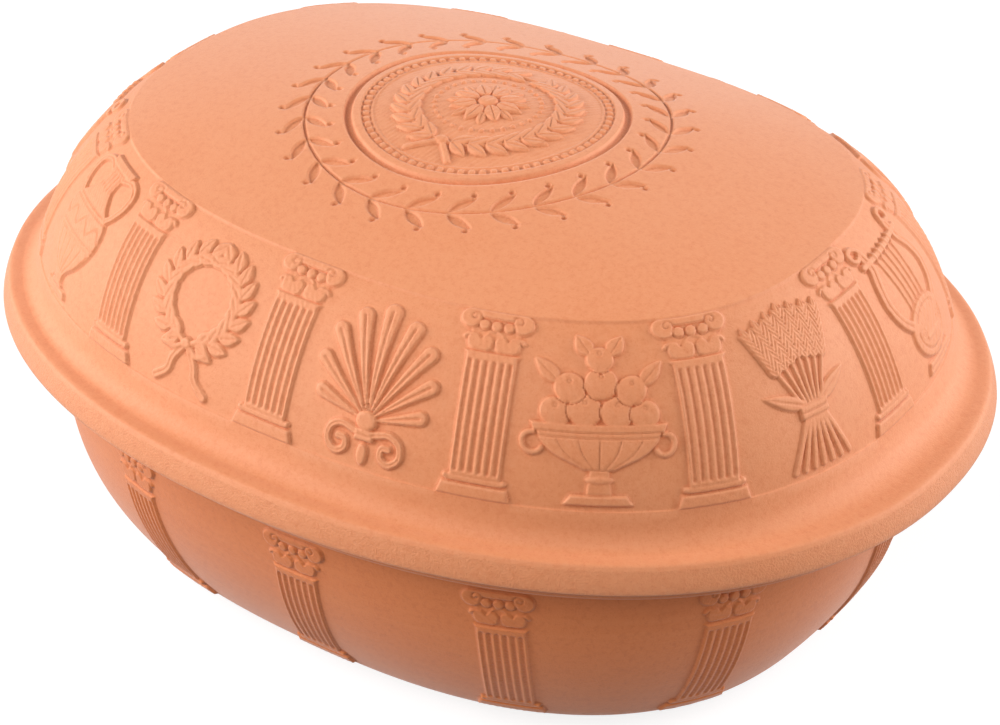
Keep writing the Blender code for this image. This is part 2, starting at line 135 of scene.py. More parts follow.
# Medallion, and the garland and the circle round it
MEDALLION_R = 46.0
GROOVE_WIDE = 2.5
GROOVE_DEEP = 1.4
RING_WIDE = 3.0
GARLAND_R = 58.5
CIRCLE_R = 69.0

# Meshes: the spacing of points, and how long and how tall the walls are
MESH_STEP = 0.34
LID_WALL_ROUND = 810.0
LID_WALL_TALL = 57.0
DISH_WALL_ROUND = 850.0
DISH_WALL_TALL = 66.0

# Clays, as base, pale and deep colour in linear light, and the strength of the wipe streaks; the deep colour
# also serves as painted shade in creases and seams
LID_CLAY = ((0.745, 0.256, 0.098), (0.785, 0.312, 0.145), (0.62, 0.150, 0.038), 0.08)
# Painted shade: the dish's clay is the lid's clay set darker and redder, for the shade the dish stands in
# under the lid
DISH_CLAY_SHADED = ((0.66, 0.176, 0.040), (0.71, 0.220, 0.062), (0.50, 0.106, 0.020), 0.35)

# Light: the room's on the object, the floor's own colour, and its glow to the camera
ROOM_LIGHT = 0.05
FLOOR_PALE = 0.28
FLOOR_GLOW = 0.82
FLOOR_SIZE = 12.0
LAMP_AIM = (0.0, 0.0, 0.08)
LAMP_AWAY = 1.7
# Lamps, as name, bearing and height in degrees, width and height in metres, and watts
LAMPS = (
    ("left_lamp", -148.0, 21.0, 1.8, 1.1, 37.0),
    ("right_lamp", 42.0, 24.0, 1.8, 1.1, 36.0),
    ("front_lamp", -76.0, 47.0, 1.4, 1.1, 13.0),
)

# The photograph's viewpoint, solved from the outlines of the object, with its angles in degrees
CAMERA_AT = (0.3951, -0.5720, 0.5105)
CAMERA_TURN = 34.24
CAMERA_TILT = 32.92
CAMERA_ROLL = 0.71
CAMERA_LENS = 87.7


def oval(half_x, half_y, power, bearing):
    c = np.cos(bearing)
    s = np.sin(bearing)
    reach = (np.abs(c) ** power + np.abs(s) ** power) ** (-1.0 / power)
    return half_x * c * reach, half_y * s * reach


def blend(low, high, t):
    return low + (high - low) * t


def ease(low, high, x):
    """0 below low, 1 above high, smooth between."""
    t = np.clip((x - low) / (high - low), 0.0, 1.0)
    return t * t * (3.0 - 2.0 * t)


# A station is a level curve of the body: half length, half width, height, power, sway
def inset(x, y, z, power, sway=0.0):
    return (HALF_X - x, HALF_Y - y, z, power, sway)


def lid_station(rise):
    swell = 4.0 * rise * (1.0 - rise)
    out = WALL_BULGE * swell
    return inset(
        blend(FLANGE_X, SHOULDER_X, rise) - out,
        blend(FLANGE_Y, SHOULDER_Y, rise) - out,
        SEAT + blend(LINE_LIFT, SHOULDER_LIFT, rise) + WALL_LIFT * swell,
        blend(LINE_POWER, SHOULDER_POWER, rise),
        SHOULDER_SWAY * rise,
    )


def dish_station(rise):
    tuck = DISH_TAPER * (1.0 - rise) ** DISH_CURVE
    power = blend(DISH_FOOT_POWER, DISH_TOP_POWER, rise)
    return inset(DISH_TOP_X + tuck, DISH_TOP_Y + tuck, blend(DISH_FOOT_Z, DISH_TOP_Z, rise), power)


def top_height(x, y):
    power = SHOULDER_POWER
    reach = (np.abs(x / CROWN_X) ** power + np.abs(y / CROWN_Y) ** power) ** (1.0 / power)
    sway = SHOULDER_SWAY * np.cos(2.0 * np.arctan2(y / CROWN_Y, x / CROWN_X))
    return blend(HEIGHT, SEAT + SHOULDER_LIFT + sway, reach**TOP_POWER)


def ring(station, bearing):
    half_x, half_y, z, power, sway = station
    x, y = oval(half_x, half_y, power, bearing)
    return np.stack([x, y, z + sway * np.cos(2.0 * bearing)], -1)


def rings(stations, bearing):
    return np.stack([ring(station, bearing) for station in stations])


def smooth_run(stations, step):
    """Stations along a Catmull-Rom curve through the given ones, about step apart."""
    rows = np.array(stations, float)
    ends = np.vstack([2 * rows[0] - rows[1], rows, 2 * rows[-1] - rows[-2]])
    out = []
    for i in range(len(rows) - 1):
        a, b, c, d = ends[i : i + 4]
        long = math.hypot(c[0] - b[0], c[2] - b[2])
        count = max(1, int(round(long / step)))
        square = 2 * a - 5 * b + 4 * c - d
        cube = 3 * b - a - 3 * c + d
        for t in np.arange(count) / count:
            out.append(0.5 * (2 * b + (c - a) * t + square * t**2 + cube * t**3))
    out.append(rows[-1])
    return [tuple(r) for r in out]


def even(count):
    return np.arange(count) * (math.tau / count)


# Relief: a signed distance is negative inside a shape, and a relief is a height over the wall
def swell(d, high, soft):
    """A body whose edge rounds up over a width of soft."""
    t = np.clip(-d / soft, 0.0, 1.0)
    return high * np.sqrt(1.0 - (1.0 - t) ** 2)


def plate(d, high, edge=0.5):
    """A flat body with a steep edge."""
    return high * ease(0.1, -edge, d)


def line(d, deep, half=0.22):
    """Depth of a cut along the zero of a distance."""
    return deep * ease(half + 0.3, half - 0.15, np.abs(d))


def rod(x, y, ax, ay, bx, by, ra, rb=None):
    rb = ra if rb is None else rb
    dx = bx - ax
    dy = by - ay
    t = np.clip(((x - ax) * dx + (y - ay) * dy) / (dx * dx + dy * dy), 0.0, 1.0)
    return np.hypot(x - ax - dx * t, y - ay - dy * t) - (ra + (rb - ra) * t)


def turned(x, y, cx, cy, angle):
    c = math.cos(angle)
    s = math.sin(angle)
    return (x - cx) * c + (y - cy) * s, (y - cy) * c - (x - cx) * s


def egg(x, y, cx, cy, rx, ry, angle=0.0):
    a, b = turned(x, y, cx, cy, angle)
    return (np.hypot(a / rx, b / ry) - 1.0) * min(rx, ry)


def bar(x, y, low, high, low_half, high_half):
    t = np.clip((y - low) / (high - low), 0.0, 1.0)
    return np.maximum(np.abs(x) - blend(low_half, high_half, t), np.maximum(low - y, y - high))


def flow(at, knots):
    """Smooth curve through (place, value) knots."""
    place, value = np.array(knots, float).T
    slope = np.gradient(value, place)
    i = np.clip(np.searchsorted(place, at) - 1, 0, len(place) - 2)
    wide = place[i + 1] - place[i]
    t = np.clip((at - place[i]) / wide, 0.0, 1.0)
    bend = t * t * (3.0 - 2.0 * t)
    rest = slope[i] * t * (1.0 - t) ** 2 - slope[i + 1] * t * t * (1.0 - t)
    return blend(value[i], value[i + 1], bend) + wide * rest


def leaf(x, y, bx, by, angle, long, wide, high=1.0):
    """A pointed leaf from its stalk end, with a cut midrib."""
    a, b = turned(x, y, bx, by, angle)
    t = np.clip(a / long, 0.0, 1.0)
    half = wide * np.sin(math.pi * t**0.8) ** 0.85
    d = np.maximum(np.abs(b) - half, np.maximum(-a, a - long))
    body = plate(d, high * 0.8, 0.45) + swell(d, high * 0.2, wide)
    return np.maximum(body - line(b, 0.4, 0.12) * (a > 0.8) * (d < -0.3), 0.0)


def stroke(x, y, points, half):
    d = None
    for (ax, ay), (bx, by) in zip(points, points[1:]):
        e = rod(x, y, ax, ay, bx, by, half)
        d = e if d is None else np.minimum(d, e)
    return d


def arc(cx, cy, radius, start, end, count=14, grow=0.0):
    angles = np.radians(np.linspace(start, end, count))
    radii = radius + grow * np.linspace(0.0, 1.0, count)
    return [(cx + r * math.cos(a), cy + r * math.sin(a)) for r, a in zip(radii, angles)]


def curve(points, steps=6):
    """More points along a smooth curve through the given ones."""
    knots = np.array(points, float)
    at = np.linspace(0.0, len(knots) - 1.0, steps * (len(knots) - 1) + 1)
    where = np.arange(len(knots))
    columns = [flow(at, list(zip(where, knots[:, k]))) for k in (0, 1)]
    return list(zip(*columns))


def pile(*parts):
    high = parts[0]
    for part in parts[1:]:
        high = np.maximum(high, part)
    return high


def tucked(high, part, d, edge, deep):
    """A part laid against others, with a cut along it where they stand higher."""
    cut = deep * ease(-0.1, edge, d) * (high > part)
    return np.where(d < edge, np.maximum(part, high - cut), high)


def column(x, y, tall):
    """Plinth and step, fluted shaft, notched leaves, and a slab that ends in scrolls over a row of beads."""
    half = COLUMN_HALF
    plinth, step, neck = (tall * part for part in (PLINTH, STEP, NECK))
    side = np.abs(x)
    high = plate(bar(x, y, 0.1, plinth + 0.6, half, half * 0.88), 1.35, 0.6)
    high = pile(high, plate(bar(x, y, plinth + 0.6, step, half * 0.79, half * 0.74), 1.15, 0.5))
    high = high - line(y - plinth - 0.7, 0.35, 0.1) * (side < half * 0.86)
    high = pile(high, plate(egg(side, y, half * 0.77, step - 0.9, 0.9, 0.9), 1.3, 0.4))
    # Shaft, with a plain top whose corners run out to points
    flare = SHAFT_HALF - 0.2 + 1.3 * np.clip((y - neck + 1.5) / 1.5, 0.0, 1.0) ** 2
    shaft = plate(np.maximum(side - flare, np.maximum(step - 0.6 - y, y - neck)), 1.1, 0.55)
    pitch = 2.0 * SHAFT_HALF * 0.92 / FLUTES
    for i in range(FLUTES):
        at = pitch * (i - (FLUTES - 1) / 2)
        d = rod(x, y, at, step + 1.5, at, neck - 3.3, pitch * 0.35)
        t = np.clip(-d / (pitch * 0.35), 0.0, 1.0)
        shaft = shaft - 0.75 * t * (2.0 - t)
    high = pile(high, np.maximum(shaft, 0.0))
    # Two wide leaves with a notch each and tips that curl out, and a small arch between them
    high = pile(high, plate(bar(x, y, neck + 0.5, tall - 3.0, SHAFT_HALF * 0.9, half * 0.72), 0.35, 0.4))
    high = pile(high, plate(stroke(x, y, arc(0.0, tall - 9.7, 2.9, 30, 150), 0.5), 0.8, 0.4))
    lobes = np.minimum(egg(side, y, 2.15, tall - 10.4, 2.1, 2.4), egg(side, y, 6.1, tall - 10.3, 2.1, 2.5))
    leaves = np.minimum(lobes, rod(side, y, 2.35, tall - 11.5, 5.9, tall - 11.4, 2.1))
    curl = curve(((6.4, tall - 9.6), (7.4, tall - 8.7), (8.3, tall - 8.9), (8.8, tall - 9.6)))
    tip = stroke(side, y, curl, 0.7)
    high = pile(high, plate(np.minimum(leaves, tip), 1.0, 0.5))
    # Slab with a scroll at each end, and beads under it
    scroll = half - 3.4
    middle = tall - 3.6
    end = np.hypot(side - scroll, y - middle) - 3.3
    slab = np.minimum(bar(x, y, tall - 3.1, tall - 0.3, scroll, scroll), end)
    hook = ((-3.2, 0.9), (-2.7, 1.9), (-1.6, 2.2), (-0.5, 1.6), (-0.3, 0.5), (-1.0, -0.1), (-1.7, 0.4))
    cut = stroke(side, y, [(scroll + hx, middle + hy) for hx, hy in curve(hook)], 0.0)
    high = pile(high, plate(slab, 1.15, 0.55)) - line(cut, 0.55, 0.14)
    for at in (-3.65, 0.0, 3.65):
        d = np.hypot(x - at, y - tall + 5.1) - 1.75
        high = high - line(d - 0.1, 0.45, 0.08)
        high = pile(high, plate(d, 0.85, 0.4) + swell(d, 0.35, 1.7))
    return high


def amphora(x, y):
    side = np.abs(x)
    outline = (
        (3.8, 3.0), (7.0, 3.0), (12.0, 8.6), (17.0, 12.2), (23.0, 13.4), (28.0, 11.6), (32.5, 7.0),
        (36.0, 4.6), (43.0, 4.4),
    )
    half = flow(y, outline)
    body = np.maximum((side - half) * 0.85, np.maximum(4.0 - y, y - 43.0))
    high = plate(body, 1.05, 0.6) + swell(body, 0.45, 9.0)
    ribs = line(np.sin(x / np.maximum(half, 1.0) * 10.0) * half / 10.0, 0.45, 0.12)
    high = high - ribs * (y < 17.6) * (y > 7.5) * (high > 0.8)
    for level in (18.2, 19.6, 28.0, 29.4):
        high = high - line(y - level, 0.5, 0.12) * (high > 0.8)
    wave = 23.8 + 1.8 * np.sin(x * 0.8)
    high = high - line((y - wave) * 0.62, 0.55, 0.15) * (high > 0.9)
    high = high - line(np.sin(x * 1.9) / 1.9, 0.4, 0.1) * (y > 35.5) * (y < 41.5) * (side < 3.6)
    high = pile(high, plate(bar(x, y, 42.4, 45.4, 7.0, 7.8), 1.45))
    high = pile(high, plate(bar(x, y, 3.6, 5.0, 3.9, 3.4), 1.3))
    high = pile(high, plate(bar(x, y, 1.6, 4.0, 7.4, 6.4), 1.3))
    loop = curve(((3.9, 41.6), (8.4, 42.8), (12.4, 40.4), (13.2, 35.6), (11.6, 31.2), (9.4, 28.6)))
    handle = stroke(side, y, loop, 1.25)
    return pile(high, plate(handle, 1.2, 0.45) - line(handle + 1.25, 0.35, 0.1) * (handle < -0.5))


def branch(x, y, radius, places, lean, long, wide, high):
    """Pairs of leaves along a round stalk, at places in degrees."""
    made = np.zeros_like(x)
    for turn in np.radians(places):
        at = (radius * math.cos(turn), radius * math.sin(turn))
        for angle in (turn + math.pi / 2 - lean, turn + math.pi / 2 + lean):
            made = pile(made, leaf(x, y, *at, angle, long, wide, high))
    return made


def wreath(x, y):
    side = np.abs(x)
    cy, radius = 27.2, 13.2
    high = plate(np.abs(np.hypot(x, y - cy) - radius) - 0.6, 0.9, 0.4)
    high = pile(high, branch(side, y - cy, radius, np.linspace(-76, 74, 9), 0.62, 7.2, 2.15, 1.2))
    knot = cy - radius
    tail = stroke(side, y, curve(((0.4, knot), (4.0, 9.0), (5.2, 5.4), (9.4, 2.4))), 1.3)
    high = pile(high, plate(tail, 1.0, 0.4) - line(tail + 1.3, 0.35, 0.1) * (tail < -0.6))
    loop = curve(((0.6, knot), (4.8, knot + 1.8), (7.4, knot - 0.6), (4.6, knot - 2.4), (0.6, knot)))
    high = pile(high, plate(stroke(side, y, loop, 0.85), 1.25, 0.4))
    return pile(high, swell(egg(x, y, 0.0, knot, 1.9, 1.7), 1.6, 0.9))


def palmette(x, y):
    side = np.abs(x)
    heart = 14.0
    high = np.zeros_like(x)
    petals = ((0.0, 33.6, 2.9), (15.5, 31.4, 2.7), (32.0, 28.0, 2.6), (51.0, 22.6, 2.5), (74.0, 17.0, 2.3))
    for degrees, long, tip in petals:
        angle = math.radians(90.0 - degrees)
        end = (long * math.cos(angle), heart + long * math.sin(angle))
        start = (3.4 * math.cos(angle), heart + 3.4 * math.sin(angle))
        d = rod(side, y, *start, *end, 0.5, tip)
        petal = plate(d, 1.0, 0.5) + swell(d, 0.35, tip)
        vein = rod(side, y, *start, *end, 0.0)
        petal = petal - 0.55 * ease(0.55, 0.1, vein) * (d < -0.5)
        high = tucked(high, petal, d, 0.3, 0.8)
    high = pile(high, swell(egg(x, y, 0.0, heart, 3.6, 3.0), 1.6, 1.2))
    scroll = (
        (0.0, 9.6), (4.0, 10.8), (8.0, 11.6), (11.4, 9.6), (11.8, 5.8), (8.8, 3.6), (6.0, 5.0), (6.2, 7.6),
        (8.4, 7.8),
    )
    d = stroke(side, y, curve(scroll), 1.15)
    high = pile(high, plate(d, 1.3, 0.45) - line(d + 1.15, 0.4, 0.1) * (d < -0.6))
    tie = plate(bar(x, y, 8.2, 11.6, 3.4, 2.8), 1.55, 0.45)
    high = pile(high, tie - line(y - 9.9, 0.4, 0.12) * (tie > 0.8))
    drop = egg(x, y, 0.0, 4.6, 1.9, 3.4)
    return pile(high, plate(drop, 1.0, 0.5) + swell(drop, 0.3, 1.8))


def lyre(x, y):
    side = np.abs(x)
    box = egg(x, y, 0.0, 12.6, 12.0, 8.2)
    high = plate(box, 1.05, 0.6) + swell(box, 0.3, 6.0)
    high = high - line(box + 2.2, 0.5, 0.15) * (high > 0.8)
    for k in range(2):
        high = high - line(np.hypot(side - 6.2, y - 12.0) - 0.6 - 0.9 * k, 0.35, 0.08) * (high > 0.8)
    high = pile(high, plate(bar(x, y, 1.6, 4.8, 10.6, 8.4), 1.3))
    high = high - line(y - 3.2, 0.4, 0.12) * (side < 9.0)
    limb = curve(((8.6, 15.4), (13.2, 20.0), (15.0, 26.0), (13.4, 32.0), (10.8, 37.0), (10.6, 41.6)))
    d = stroke(side, y, limb, 1.9)
    high = pile(high, plate(d, 1.25, 0.5) - line(d + 1.9, 0.45, 0.15) * (d < -1.0))
    curl = arc(13.0, 43.0, 2.9, 190, -120, 18, -1.5)
    high = pile(high, plate(stroke(side, y, curl, 1.0), 1.35, 0.45))
    high = pile(high, plate(rod(x, y, -13.4, 38.9, 13.4, 38.9, 1.2), 1.35, 0.5))
    for i in range(5):
        at = (i - 2) * 3.1
        high = pile(high, plate(rod(x, y, at * 0.8, 13.0, at, 38.9, 0.34), 0.75 + 0.7 * (y < 19.4), 0.3))
        high = pile(high, swell(egg(x, y, at, 38.9, 1.0, 1.9), 1.7, 0.8))
    return pile(high, plate(bar(x, y, 9.6, 11.4, 5.6, 5.2), 1.7, 0.4))


def wheat(x, y):
    high = np.zeros_like(x)
    count = 7
    for i in range(count):
        lean = (i - (count - 1) / 2) / ((count - 1) / 2)
        tie = (lean * 2.6, 17.5)
        neck = (lean * 8.4, 30.0 + 2.5 * (1 - abs(lean)))
        tip = (lean * 12.8, 44.0 + 3.6 * (1 - abs(lean)))
        foot = (lean * 10.5, 2.6)
        high = pile(high, plate(rod(x, y, *tie, *neck, 0.7), 0.9, 0.35))
        high = pile(high, plate(rod(x, y, *tie, *foot, 0.95), 0.95, 0.4))
        angle = math.atan2(tip[1] - neck[1], tip[0] - neck[0])
        kernels = 7
        for k in range(kernels):
            t = k / kernels
            kx = blend(neck[0], tip[0], t)
            ky = blend(neck[1], tip[1], t)
            for side in (-1, 1):
                high = pile(high, leaf(x, y, kx, ky, angle + side * 0.55, 4.3, 1.2, 1.35 - 0.04 * abs(k - 3)))
        high = pile(high, leaf(x, y, tip[0], tip[1] - 0.8, angle, 4.0, 1.05, 1.3))
    for side in (-1, 1):
        high = pile(high, leaf(x, y, side * 2.0, 19.0, math.pi / 2 - side * 1.15, 15.0, 2.2, 1.1))
    band = plate(bar(x, y, 15.6, 19.6, 5.4, 5.4), 1.5, 0.5)
    return pile(high, band - line(y - 17.6, 0.5, 0.15) * (band > 0.8))


def fruit_bowl(x, y):
    side = np.abs(x)
    half = flow(y, ((10.0, 3.0), (11.5, 6.0), (14.0, 11.6), (17.0, 15.2), (20.6, 17.0)))
    body = np.maximum((side - half) * 0.8, np.maximum(10.4 - y, y - 20.5))
    high = plate(body, 1.05, 0.6) + swell(body, 0.3, 5.0)
    ribs = line(np.sin(x / np.maximum(half, 1.0) * 9.0) * half / 9.0, 0.45, 0.12)
    high = high - ribs * (y < 18.2) * (high > 0.8)
    high = high - line(y - 18.8, 0.45, 0.12) * (high > 0.8)
    high = pile(high, plate(bar(x, y, 20.0, 22.6, 17.4, 18.2), 1.45))
    high = pile(high, plate(bar(x, y, 4.2, 10.8, 3.6, 2.6), 1.0))
    high = pile(high, swell(egg(x, y, 0.0, 8.2, 3.9, 1.2), 1.5, 0.8))
    high = pile(high, plate(bar(x, y, 1.6, 4.4, 9.8, 7.4), 1.35))
    high = pile(high, plate(stroke(side, y, arc(17.6, 17.0, 2.7, 95, -150, 14), 0.8), 1.15, 0.4))
    fruit = np.zeros_like(x)
    spots = (
        (-11.6, 25.4, 4.3), (-4.0, 26.2, 4.7), (4.6, 25.8, 4.6), (12.0, 25.0, 4.1), (-7.8, 32.2, 4.3),
        (0.4, 33.6, 4.6), (8.4, 31.8, 4.2), (0.2, 40.4, 3.7),
    )
    for fx, fy, r in spots:
        d = np.hypot(x - fx, y - fy) - r
        ball = plate(d, 0.85, 0.5) + swell(d, 0.6, r)
        ball = ball - line(np.hypot(x - fx, y - fy - r * 0.45) - 0.5, 0.4, 0.15) * (d < -0.5)
        fruit = tucked(fruit, ball, d, 0.35, 0.9)
    leaves = ((-10.5, 33.5, 2.3, 9.0), (10.8, 33.0, 0.85, 9.0), (-2.2, 41.5, 2.1, 7.0), (2.6, 41.5, 1.0, 7.0))
    for bx, by, angle, long in leaves:
        fruit = pile(fruit, leaf(x, y, bx, by, angle, long, 2.5, 1.15))
    return pile(high, fruit * (y > 21.5))


# Each ornament with the size it is drawn at
ORNAMENTS = ((lyre, 1.12), (amphora, 1.12), (wreath, 1.1), (palmette, 1.0), (fruit_bowl, 1.08), (wheat, 1.02))


def olive_ring(x, y):
    """Engraved garland round the medallion: a stem with paired leaves and small fruit."""
    r = np.hypot(x, y)
    turn = np.arctan2(y, x)
    across = r - GARLAND_R
    cut = 0.9 * ease(0.75, 0.1, np.abs(across))
    pairs = 28
    pitch = math.tau / pairs
    along = ((turn + pitch / 2) % pitch - pitch / 2) * r
    long = 11.4
    for shift in (-pitch * GARLAND_R, 0.0, pitch * GARLAND_R):
        for side in (-1, 1):
            a, b = turned(along - shift, across, -3.2, 0.5 * side, side * 0.66)
            t = np.clip(a / long, 0.0, 1.0)
            half = 2.0 * np.sin(math.pi * t**0.85) ** 0.85
            d = np.maximum(np.abs(b) - half, np.maximum(-a, a - long))
            cut = np.maximum(cut, 0.95 * ease(0.05, -0.75, d))
        berry = np.hypot(along - shift - 3.9, np.abs(across) - 8.0) - 1.25
        cut = np.maximum(cut, 0.9 * ease(0.05, -0.7, berry))
    return -cut


def medallion(x, y):
    """Groove, plain ring, border of teeth, and a sunk field with a wreath round a rosette."""
    r = np.hypot(x, y)
    turn = np.arctan2(y, x)
    groove_in = MEDALLION_R - GROOVE_WIDE
    ring_in = groove_in - RING_WIDE
    groove = ease(MEDALLION_R + 0.2, MEDALLION_R - 0.6, r) * ease(groove_in - 0.5, groove_in + 0.4, r)
    high = -GROOVE_DEEP * groove - ease(ring_in + 0.3, ring_in - 0.4, r)
    teeth = 72
    across = np.abs((turn * teeth / math.tau) % 1.0 - 0.5) * math.tau / teeth * r
    tooth = np.maximum(across - 1.1, np.abs(r - (ring_in - 1.5)) - 1.15)
    high = high + plate(tooth, 0.8, 0.45)
    high = high + 0.35 * ease(0.55, 0.2, np.abs(r - (ring_in - 3.7)))
    radius = 25.5
    side = np.abs(x)
    inner = plate(np.abs(r - radius) - 0.55, 0.7, 0.4)
    inner = pile(inner, branch(side, y, radius, np.linspace(-82, 70, 13), 0.6, 8.6, 2.2, 1.1))
    tail = stroke(side, y, [(0.0, -radius), (4.6, -29.8), (8.0, -33.6)], 1.1)
    inner = pile(inner, plate(tail, 0.9, 0.4))
    inner = pile(inner, swell(egg(x, y, 0.0, -radius, 2.4, 2.0), 1.3, 1.0))
    petals = 8
    for i in range(petals):
        place = math.tau * i / petals
        inner = pile(inner, leaf(x, y, 3.4 * math.cos(place), 3.4 * math.sin(place), place, 9.2, 2.8, 1.15))
        place += math.pi / petals
        inner = pile(inner, leaf(x, y, 7.4 * math.cos(place), 7.4 * math.sin(place), place, 6.4, 1.6, 0.8))
    inner = inner - line(r - 3.7, 0.5, 0.15)
    inner = pile(inner, swell(r - 3.3, 1.35, 1.6))
    dots = 32
    radius = 17.2
    off = ((turn * dots / math.tau) % 1.0 - 0.5) * math.tau / dots * radius
    inner = pile(inner, swell(np.hypot(off, r - radius) - 0.8, 0.8, 0.6))
    return high + inner * (r < 36.6)


class Skin:
    """One closed surface, built ring by ring, with marks and a map place for every point."""

    def __init__(self, name):
        self.name = name
        self.points = []
        self.marks = {"cavity": [], "sponge": []}
        self.place = []
        self.bearing = []
        self.size = 0
        self.quads = []
        self.tris = []

    def add(self, points, bearing, cavity=0.0, sponge=0.0, run=0.0):
        """A ring of points with its marks, given back as its first index and its bearings."""
        count = len(points)
        start = self.size
        self.points.append(points)
        self.marks["cavity"].append(np.broadcast_to(cavity, count))
        self.marks["sponge"].append(np.broadcast_to(sponge, count))
        self.bearing.append(bearing)
        self.place.append(np.full(count, run))
        self.size += count
        return start, bearing

    def sheet(self, grid, bearing, zone, cavity=None, sponge=None, run=0.0, before=None):
        """Rings of equal count, each joined to the last, and the first to what came before."""
        for j in range(len(grid)):
            if j:
                run += float(np.linalg.norm(grid[j] - grid[j - 1], axis=1).mean())
            marks = [0.0 if mark is None else mark[j] for mark in (cavity, sponge)]
            here = self.add(grid[j], bearing, *marks, run)
            if before is not None:
                self.join(before, here, zone)
            before = here
        return before, run

    def join(self, low, high, zone):
        """Faces between two rings: quads where their counts are equal, and triangles by bearing if not."""
        (a, ua), (b, ub) = low, high
        if len(ua) == len(ub):
            i = np.arange(len(ua))
            j = (i + 1) % len(ua)
            self.quads.append((np.stack([a + i, a + j, b + j, b + i], 1), zone))
            return
        made = []
        i = j = 0
        na, nb = len(ua), len(ub)
        while i < na or j < nb:
            next_a = ua[i + 1] if i + 1 < na else ua[0] + math.tau
            next_b = ub[j + 1] if j + 1 < nb else ub[0] + math.tau
            if j >= nb or (i < na and next_a <= next_b):
                made.append((a + i, a + (i + 1) % na, b + j % nb))
                i += 1
            else:
                made.append((a + i % na, b + (j + 1) % nb, b + j))
                j += 1
        self.tris.append((np.array(made), zone))

    def pole(self, around, point, zone, first):
        """A fan of triangles from a ring to one point, which comes first or last in the skin's order."""
        start, bearing = around
        tip, _ = self.add(np.array([point]), np.zeros(1))
        i = np.arange(len(bearing))
        j = (i + 1) % len(bearing)
        a, b = (j, i) if first else (i, j)
        self.tris.append((np.stack([np.full(len(i), tip), start + a, start + b], 1), zone))

    def build(self, zones, width):
        """The mesh, with a flat map: walls as four strips one above the other, level faces from above."""
        points = np.concatenate(self.points).astype(np.float32)
        turn = np.concatenate(self.bearing) / math.tau
        run = np.concatenate(self.place)
        mesh = bpy.data.meshes.new(self.name)
        mesh.vertices.add(len(points))
        mesh.vertices.foreach_set("co", points.ravel())
        loops = []
        starts = []
        maps = []
        total = 0
        for faces, zone in self.quads + self.tris:
            sides = faces.shape[1]
            starts.append(total + sides * np.arange(len(faces)))
            total += faces.size
            loops.append(faces.ravel())
            kind, left, base, tall = zones[zone]
            if kind == "plan":
                place = points[faces][..., :2] * (tall, 1)
                place = place + (left + HALF_X, base + HALF_Y)
            else:
                t = turn[faces]
                t = np.where(t < t.max(1, keepdims=True) - 0.5, t + 1.0, t) * 4.0
                strip = np.minimum(np.floor(t.min(1, keepdims=True) + 1e-6), 3)
                along = (t - strip) * 0.25 * math.tau * (HALF_X + HALF_Y) / 2
                place = np.stack([left + along, base + strip * tall + run[faces]], -1)
            maps.append((place / width).reshape(-1, 2))
        mesh.loops.add(total)
        mesh.loops.foreach_set("vertex_index", np.concatenate(loops).astype(np.int32))
        starts = np.concatenate(starts).astype(np.int32)
        mesh.polygons.add(len(starts))
        mesh.polygons.foreach_set("loop_start", starts)
        mesh.update(calc_edges=True)
        layer = mesh.uv_layers.new(name="OFBake")
        layer.uv.foreach_set("vector", np.concatenate(maps).astype(np.float32).ravel())
        for name, values in self.marks.items():
            attribute = mesh.attributes.new(name, "FLOAT", "POINT")
            attribute.data.foreach_set("value", np.concatenate(values).astype(np.float32))
        mesh.validate()
        mesh.shade_smooth()
        made = bpy.data.objects.new(self.name, mesh)
        bpy.context.scene.collection.objects.link(made)
        return made


def outward(grid):
    """Unit normals of a grid of rings."""
    across = np.roll(grid, -1, 1) - np.roll(grid, 1, 1)
    up = np.gradient(grid, axis=0)
    out = np.cross(across, up)
    return out / np.linalg.norm(out, axis=2, keepdims=True)


def raised(grid, high):
    """A grid of rings moved out by a height in millimetres."""
    return grid + outward(grid) * (high * MM)[..., None]


def drift(points):
    """Slow unevenness of pressed clay, a fraction of a millimetre."""
    x, y, z = np.moveaxis(points / MM, -1, 0)
    wave = np.sin(x * 0.045 + 1.3) * np.cos(y * 0.052 - 0.4) + 0.6 * np.sin(z * 0.11 + x * 0.03 + y * 0.021)
    return wave * 0.09


def crumble(points):
    """Tiny unevenness of a cast edge."""
    x, y, z = np.moveaxis(points / MM, -1, 0)
    ripple = np.sin(x * 2.9 + y * 1.7) * np.sin(y * 3.3 - z * 2.1)
    return 0.03 * (ripple + np.sin(z * 4.1 + x * 3.7 - y * 1.3))


def box_blur(high, reach):
    """Mean over a square window of a grid that closes on itself along its rows."""
    total = np.zeros_like(high)
    for k in range(-reach, reach + 1):
        total += np.roll(high, k, 1)
    padded = np.pad(total / (2 * reach + 1), ((reach, reach), (0, 0)), mode="edge")
    run = np.cumsum(np.vstack([np.zeros_like(padded[:1]), padded]), 0)
    return (run[2 * reach + 1 :] - run[: -2 * reach - 1]) / (2 * reach + 1)


def hollows(high, step):
    """How far each point lies below its surroundings, in millimetres."""
    near = box_blur(high, max(1, int(round(0.8 / step))))
    far = box_blur(high, max(2, int(round(2.0 / step))))
    return 0.7 * (near - high) + 0.3 * (far - high)


def pace(station, bearing):
    """Millimetres along a station for one radian of bearing."""
    tiny = 1e-4
    step = ring(station, bearing + tiny) - ring(station, bearing - tiny)
    return np.linalg.norm(step, axis=-1) / (2.0 * tiny * MM)


def with_columns(station, bearings, rises, top, stands):
    """Bearings of a wall's grid at every rise, so that its lines run straight up the columns."""
    foot, head = np.radians(np.array(stands)).T
    rows = []
    for rise in rises:
        centre = blend(foot, head, min(rise / top, 1.0))
        reach = (COLUMN_HALF + 0.7) / pace(station(rise), centre)
        rows.append(np.concatenate([centre - reach, centre + reach]))
    shift = np.array(rows) - rows[0]
    return np.stack([bearings + np.interp(bearings, rows[0], row, period=math.tau) for row in shift])


